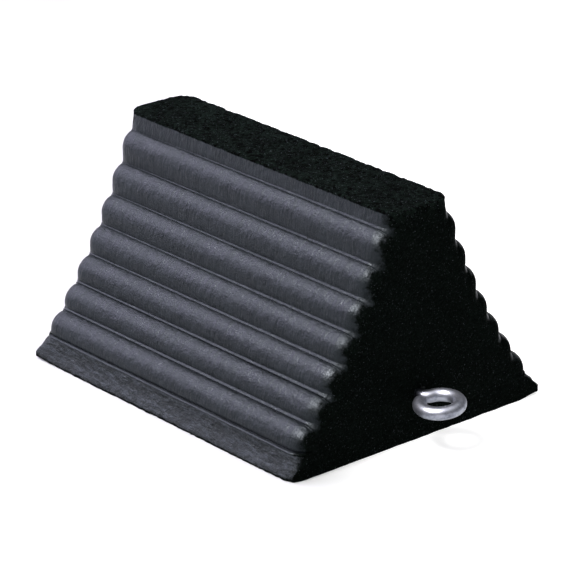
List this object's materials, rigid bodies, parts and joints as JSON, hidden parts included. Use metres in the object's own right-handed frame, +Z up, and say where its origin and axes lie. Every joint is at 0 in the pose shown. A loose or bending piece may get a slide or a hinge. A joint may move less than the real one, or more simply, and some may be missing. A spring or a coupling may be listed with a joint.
{
  "type": "wheel chock",
  "caption": "Pyramid wheel chock in moulded black rubber with ribbed slopes, a flat top and base, and a bent-bar eye bolt at one end for a rope or chain.",
  "frame": {"origin": "centre of the rubber block's base, on the ground face", "axes": "+X along the ribs towards the eye bolt, +Y across the chock from one slope to the other, +Z up"},
  "size_m": [0.2881, 0.206, 0.1524],
  "materials": {
    "moulded_rubber": "moulded from ground tyre rubber, dull and finely grained",
    "zinc_plated_steel": "bright zinc plate over drawn bar",
    "nylon": "plain moulded nylon"
  },
  "bodies": {
    "root": {"rubber_block": "moulded_rubber", "eye_bolt": "zinc_plated_steel", "fender_washer": "zinc_plated_steel", "lock_nut": "zinc_plated_steel", "lock_nut_ring": "nylon"}
  },
  "joints": []
}
